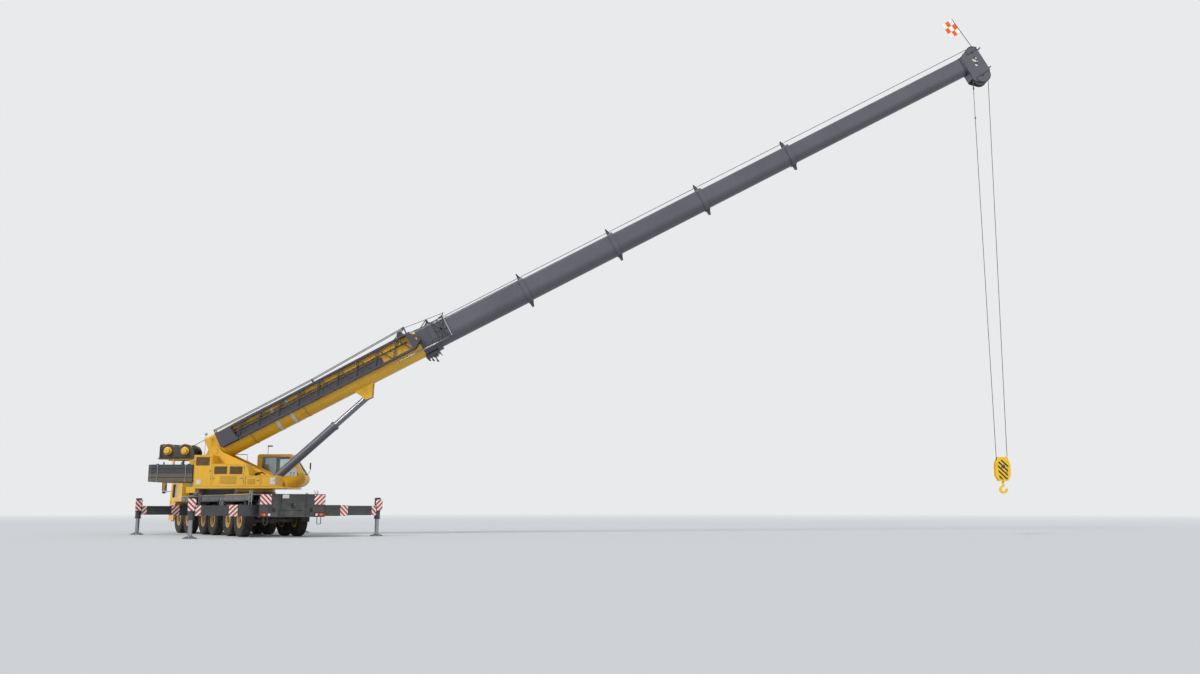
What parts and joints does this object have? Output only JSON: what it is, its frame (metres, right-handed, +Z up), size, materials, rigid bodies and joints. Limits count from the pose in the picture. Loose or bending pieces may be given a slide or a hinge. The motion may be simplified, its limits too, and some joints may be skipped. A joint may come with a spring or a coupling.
{
  "type": "mobile crane with telescopic boom, 1:2 scale model",
  "caption": "Six axle mobile crane on outriggers with slewing superstructure, raised telescopic boom, folded stay masts and hook block.",
  "frame": {"origin": "on the slewing axis at the ground", "axes": "+X along the boom's heading, +Z up, +Y to the left of the boom"},
  "size_m": [21.6781, 7.37, 13.1566],
  "materials": {
    "chassis_paint": "satin",
    "deck_paint": "satin",
    "engine": "rough",
    "yellow_paint": "gloss",
    "window_glass": "clear",
    "ballast": "matt paint",
    "winch_paint": "satin",
    "boom_paint": "satin",
    "chrome_rod": "polished",
    "hook_paint": "gloss",
    "wire_rope": "stranded",
    "flag_cloth": "woven",
    "tyre": "matt",
    "outrigger_paint": "satin",
    "jack_steel": "ground"
  },
  "bodies": {
    "carrier": {"carrier_frame": "chassis_paint", "carrier_deck": "deck_paint", "engine_block": "engine", "axle_beams": "chassis_paint", "driver_cab": "yellow_paint", "driver_cab_glass": "window_glass"},
    "superstructure": {"slew_frame": "yellow_paint", "side_housings": "yellow_paint", "counterweight": "ballast", "winch_unit": "winch_paint"},
    "operator_cab": {"operator_cab": "yellow_paint", "operator_cab_glass": "window_glass"},
    "operator_door": {"operator_door": "yellow_paint"},
    "luffing_rod": {"luffing_rod": "chrome_rod"},
    "luffing_barrel": {"luffing_barrel": "boom_paint"},
    "boom_base": {"boom_base": "yellow_paint"},
    "tele_5": {"tele_5": "boom_paint", "flag": "flag_cloth"},
    "hoist_falls": {"hoist_falls": "wire_rope"},
    "hook_block": {"hook_block": "hook_paint"},
    "tele_1": {"tele_1": "boom_paint"},
    "tele_2": {"tele_2": "boom_paint"},
    "tele_3": {"tele_3": "boom_paint"},
    "tele_4": {"tele_4": "boom_paint"},
    "stay_mast_left": {"stay_mast_left": "boom_paint"},
    "stay_mast_right": {"stay_mast_right": "boom_paint"},
    "driver_door_left": {"driver_door_left": "yellow_paint"},
    "driver_door_right": {"driver_door_right": "yellow_paint"},
    "outer_beam_front_left": {"outer_beam_front_left": "outrigger_paint"},
    "inner_beam_front_left": {"inner_beam_front_left": "outrigger_paint"},
    "jack_front_left": {"jack_front_left": "jack_steel"},
    "outer_beam_front_right": {"outer_beam_front_right": "outrigger_paint"},
    "inner_beam_front_right": {"inner_beam_front_right": "outrigger_paint"},
    "jack_front_right": {"jack_front_right": "jack_steel"},
    "outer_beam_rear_left": {"outer_beam_rear_left": "outrigger_paint"},
    "inner_beam_rear_left": {"inner_beam_rear_left": "outrigger_paint"},
    "jack_rear_left": {"jack_rear_left": "jack_steel"},
    "outer_beam_rear_right": {"outer_beam_rear_right": "outrigger_paint"},
    "inner_beam_rear_right": {"inner_beam_rear_right": "outrigger_paint"},
    "jack_rear_right": {"jack_rear_right": "jack_steel"},
    "wheel_1_left": {"wheel_1_left": "tyre"},
    "knuckle_1_left": {"knuckle_1_left": "chassis_paint"},
    "wheel_1_right": {"wheel_1_right": "tyre"},
    "knuckle_1_right": {"knuckle_1_right": "chassis_paint"},
    "wheel_2_left": {"wheel_2_left": "tyre"},
    "knuckle_2_left": {"knuckle_2_left": "chassis_paint"},
    "wheel_2_right": {"wheel_2_right": "tyre"},
    "knuckle_2_right": {"knuckle_2_right": "chassis_paint"},
    "wheel_3_left": {"wheel_3_left": "tyre"},
    "wheel_3_right": {"wheel_3_right": "tyre"},
    "wheel_4_left": {"wheel_4_left": "tyre"},
    "wheel_4_right": {"wheel_4_right": "tyre"},
    "wheel_5_left": {"wheel_5_left": "tyre"},
    "knuckle_5_left": {"knuckle_5_left": "chassis_paint"},
    "wheel_5_right": {"wheel_5_right": "tyre"},
    "knuckle_5_right": {"knuckle_5_right": "chassis_paint"},
    "wheel_6_left": {"wheel_6_left": "tyre"},
    "knuckle_6_left": {"knuckle_6_left": "chassis_paint"},
    "wheel_6_right": {"wheel_6_right": "tyre"},
    "knuckle_6_right": {"knuckle_6_right": "chassis_paint"}
  },
  "joints": [
    {"name": "slew", "type": "hinge", "parent": "carrier", "child": "superstructure", "pos_m": [0, 0, 1.06], "axis": [0, 0, 1], "continuous": true},
    {"name": "luff", "type": "hinge", "parent": "superstructure", "child": "boom_base", "pos_m": [-0.9, 0, 1.985], "axis": [0, -1, 0], "range_deg": [-27.7, 54.3]},
    {"name": "extend_1", "type": "slide", "parent": "boom_base", "child": "tele_1", "axis": [0.8854, 0, 0.4648], "range_m": [-2.325, 2.325]},
    {"name": "extend_2", "type": "slide", "parent": "tele_1", "child": "tele_2", "axis": [0.8854, 0, 0.4648], "range_m": [-2.325, 2.325]},
    {"name": "extend_3", "type": "slide", "parent": "tele_2", "child": "tele_3", "axis": [0.8854, 0, 0.4648], "range_m": [-2.325, 2.325]},
    {"name": "extend_4", "type": "slide", "parent": "tele_3", "child": "tele_4", "axis": [0.8854, 0, 0.4648], "range_m": [-2.325, 2.325]},
    {"name": "extend_5", "type": "slide", "parent": "tele_4", "child": "tele_5", "axis": [0.8854, 0, 0.4648], "range_m": [-4.65, 0]},
    {"name": "rope_swing", "type": "hinge", "parent": "tele_5", "child": "hoist_falls", "pos_m": [18.08362, 0, 11.57326], "axis": [0, -1, 0], "range_deg": [-54.3, 27.7]},
    {"name": "hoist", "type": "slide", "parent": "hoist_falls", "child": "hook_block", "axis": [0, 0, -1], "range_m": [-9, 0.9], "deforming": ["hoist_falls"]},
    {"name": "cylinder_eye", "type": "hinge", "parent": "boom_base", "child": "luffing_rod", "pos_m": [2.65575, 0, 3.35485], "axis": [0, -1, 0], "range_deg": [-8, 14]},
    {"name": "cylinder_stroke", "type": "slide", "parent": "luffing_rod", "child": "luffing_barrel", "axis": [-0.7381, 0, -0.6747], "range_m": [-0.65, 1.25]},
    {"name": "raise_mast_left", "type": "hinge", "parent": "boom_base", "child": "stay_mast_left", "pos_m": [3.86364, 0.365, 4.70056], "axis": [0, 1, 0], "range_deg": [0, 90]},
    {"name": "raise_mast_right", "type": "hinge", "parent": "boom_base", "child": "stay_mast_right", "pos_m": [3.86364, -0.365, 4.70056], "axis": [0, 1, 0], "range_deg": [0, 90]},
    {"name": "tilt_cab", "type": "hinge", "parent": "superstructure", "child": "operator_cab", "pos_m": [-0.125, 0.5475, 1.165], "axis": [0, -1, 0], "range_deg": [0, 20]},
    {"name": "slide_operator_door", "type": "slide", "parent": "operator_cab", "child": "operator_door", "axis": [-1, 0, 0], "range_m": [0, 0.38]},
    {"name": "open_driver_door_left", "type": "hinge", "parent": "carrier", "child": "driver_door_left", "pos_m": [-3.33001, 3.23097, 0.7], "axis": [0, 0, -1], "range_deg": [0, 70]},
    {"name": "open_driver_door_right", "type": "hinge", "parent": "carrier", "child": "driver_door_right", "pos_m": [-2.11619, 4.12915, 0.7], "axis": [0, 0, 1], "range_deg": [0, 70]},
    {"name": "slide_outer_beam_front_left", "type": "slide", "parent": "carrier", "child": "outer_beam_front_left", "axis": [-0.8039, -0.5948, 0], "range_m": [-0.69, 0]},
    {"name": "slide_inner_beam_front_left", "type": "slide", "parent": "outer_beam_front_left", "child": "inner_beam_front_left", "axis": [-0.8039, -0.5948, 0], "range_m": [-0.69, 0]},
    {"name": "lift_jack_front_left", "type": "slide", "parent": "inner_beam_front_left", "child": "jack_front_left", "axis": [0, 0, 1], "range_m": [0, 0.3]},
    {"name": "slide_outer_beam_front_right", "type": "slide", "parent": "carrier", "child": "outer_beam_front_right", "axis": [0.8039, 0.5948, 0], "range_m": [-0.69, 0]},
    {"name": "slide_inner_beam_front_right", "type": "slide", "parent": "outer_beam_front_right", "child": "inner_beam_front_right", "axis": [0.8039, 0.5948, 0], "range_m": [-0.69, 0]},
    {"name": "lift_jack_front_right", "type": "slide", "parent": "inner_beam_front_right", "child": "jack_front_right", "axis": [0, 0, 1], "range_m": [0, 0.3]},
    {"name": "slide_outer_beam_rear_left", "type": "slide", "parent": "carrier", "child": "outer_beam_rear_left", "axis": [-0.8039, -0.5948, 0], "range_m": [-0.69, 0]},
    {"name": "slide_inner_beam_rear_left", "type": "slide", "parent": "outer_beam_rear_left", "child": "inner_beam_rear_left", "axis": [-0.8039, -0.5948, 0], "range_m": [-0.69, 0]},
    {"name": "lift_jack_rear_left", "type": "slide", "parent": "inner_beam_rear_left", "child": "jack_rear_left", "axis": [0, 0, 1], "range_m": [0, 0.3]},
    {"name": "slide_outer_beam_rear_right", "type": "slide", "parent": "carrier", "child": "outer_beam_rear_right", "axis": [0.8039, 0.5948, 0], "range_m": [-0.69, 0]},
    {"name": "slide_inner_beam_rear_right", "type": "slide", "parent": "outer_beam_rear_right", "child": "inner_beam_rear_right", "axis": [0.8039, 0.5948, 0], "range_m": [-0.69, 0]},
    {"name": "lift_jack_rear_right", "type": "slide", "parent": "inner_beam_rear_right", "child": "jack_rear_right", "axis": [0, 0, 1], "range_m": [0, 0.3]},
    {"name": "steer_1_left", "type": "hinge", "parent": "carrier", "child": "knuckle_1_left", "pos_m": [-2.68074, 2.68136, 0.372], "axis": [0, 0, 1], "range_deg": [-30, 30]},
    {"name": "spin_wheel_1_left", "type": "hinge", "parent": "knuckle_1_left", "child": "wheel_1_left", "pos_m": [-2.74264, 2.63556, 0.372], "axis": [-0.8039, -0.5948, 0], "continuous": true},
    {"name": "steer_1_right", "type": "hinge", "parent": "carrier", "child": "knuckle_1_right", "pos_m": [-1.78043, 3.34756, 0.372], "axis": [0, 0, 1], "range_deg": [-30, 30]},
    {"name": "spin_wheel_1_right", "type": "hinge", "parent": "knuckle_1_right", "child": "wheel_1_right", "pos_m": [-1.71853, 3.39337, 0.372], "axis": [-0.8039, -0.5948, 0], "continuous": true},
    {"name": "steer_2_left", "type": "hinge", "parent": "carrier", "child": "knuckle_2_left", "pos_m": [-2.19002, 2.01818, 0.372], "axis": [0, 0, 1], "range_deg": [-22.5, 22.5]},
    {"name": "spin_wheel_2_left", "type": "hinge", "parent": "knuckle_2_left", "child": "wheel_2_left", "pos_m": [-2.25191, 1.97238, 0.372], "axis": [-0.8039, -0.5948, 0], "continuous": true},
    {"name": "steer_2_right", "type": "hinge", "parent": "carrier", "child": "knuckle_2_right", "pos_m": [-1.2897, 2.68438, 0.372], "axis": [0, 0, 1], "range_deg": [-22.5, 22.5]},
    {"name": "spin_wheel_2_right", "type": "hinge", "parent": "knuckle_2_right", "child": "wheel_2_right", "pos_m": [-1.2278, 2.73018, 0.372], "axis": [-0.8039, -0.5948, 0], "continuous": true},
    {"name": "spin_wheel_3_left", "type": "hinge", "parent": "carrier", "child": "wheel_3_left", "pos_m": [-1.4489, 0.88717, 0.372], "axis": [-0.8039, -0.5948, 0], "continuous": true},
    {"name": "spin_wheel_3_right", "type": "hinge", "parent": "carrier", "child": "wheel_3_right", "pos_m": [-0.42479, 1.64498, 0.372], "axis": [-0.8039, -0.5948, 0], "continuous": true},
    {"name": "spin_wheel_4_left", "type": "hinge", "parent": "carrier", "child": "wheel_4_left", "pos_m": [-0.98791, 0.26418, 0.372], "axis": [-0.8039, -0.5948, 0], "continuous": true},
    {"name": "spin_wheel_4_right", "type": "hinge", "parent": "carrier", "child": "wheel_4_right", "pos_m": [0.0362, 1.02199, 0.372], "axis": [-0.8039, -0.5948, 0], "continuous": true},
    {"name": "steer_5_left", "type": "hinge", "parent": "carrier", "child": "knuckle_5_left", "pos_m": [-0.2271, -0.63455, 0.372], "axis": [0, 0, 1], "range_deg": [-12.6, 12.6]},
    {"name": "spin_wheel_5_left", "type": "hinge", "parent": "knuckle_5_left", "child": "wheel_5_left", "pos_m": [-0.289, -0.68035, 0.372], "axis": [-0.8039, -0.5948, 0], "continuous": true},
    {"name": "steer_5_right", "type": "hinge", "parent": "carrier", "child": "knuckle_5_right", "pos_m": [0.67322, 0.03165, 0.372], "axis": [0, 0, 1], "range_deg": [-12.6, 12.6]},
    {"name": "spin_wheel_5_right", "type": "hinge", "parent": "knuckle_5_right", "child": "wheel_5_right", "pos_m": [0.73511, 0.07746, 0.372], "axis": [-0.8039, -0.5948, 0], "continuous": true},
    {"name": "steer_6_left", "type": "hinge", "parent": "carrier", "child": "knuckle_6_left", "pos_m": [0.26363, -1.29773, 0.372], "axis": [0, 0, 1], "range_deg": [-21, 21]},
    {"name": "spin_wheel_6_left", "type": "hinge", "parent": "knuckle_6_left", "child": "wheel_6_left", "pos_m": [0.20173, -1.34353, 0.372], "axis": [-0.8039, -0.5948, 0], "continuous": true},
    {"name": "steer_6_right", "type": "hinge", "parent": "carrier", "child": "knuckle_6_right", "pos_m": [1.16395, -0.63153, 0.372], "axis": [0, 0, 1], "range_deg": [-21, 21]},
    {"name": "spin_wheel_6_right", "type": "hinge", "parent": "knuckle_6_right", "child": "wheel_6_right", "pos_m": [1.22584, -0.58573, 0.372], "axis": [-0.8039, -0.5948, 0], "continuous": true}
  ],
  "couplings": [
    {"joint": "rope_swing", "follows": "luff", "ratio": -1},
    {"joint": "cylinder_eye", "follows": "luff", "ratio": 0.24},
    {"joint": "cylinder_stroke", "follows": "luff", "m_per_rad": 1.3},
    {"joint": "slide_inner_beam_front_left", "follows": "slide_outer_beam_front_left", "ratio": 1},
    {"joint": "slide_inner_beam_front_right", "follows": "slide_outer_beam_front_right", "ratio": 1},
    {"joint": "slide_inner_beam_rear_left", "follows": "slide_outer_beam_rear_left", "ratio": 1},
    {"joint": "slide_inner_beam_rear_right", "follows": "slide_outer_beam_rear_right", "ratio": 1},
    {"joint": "steer_1_right", "follows": "steer_1_left", "ratio": 1},
    {"joint": "steer_2_left", "follows": "steer_1_left", "ratio": 0.75},
    {"joint": "steer_2_right", "follows": "steer_1_left", "ratio": 0.75},
    {"joint": "steer_5_left", "follows": "steer_6_left", "ratio": 0.6},
    {"joint": "steer_5_right", "follows": "steer_6_left", "ratio": 0.6},
    {"joint": "steer_6_right", "follows": "steer_6_left", "ratio": 1}
  ]
}
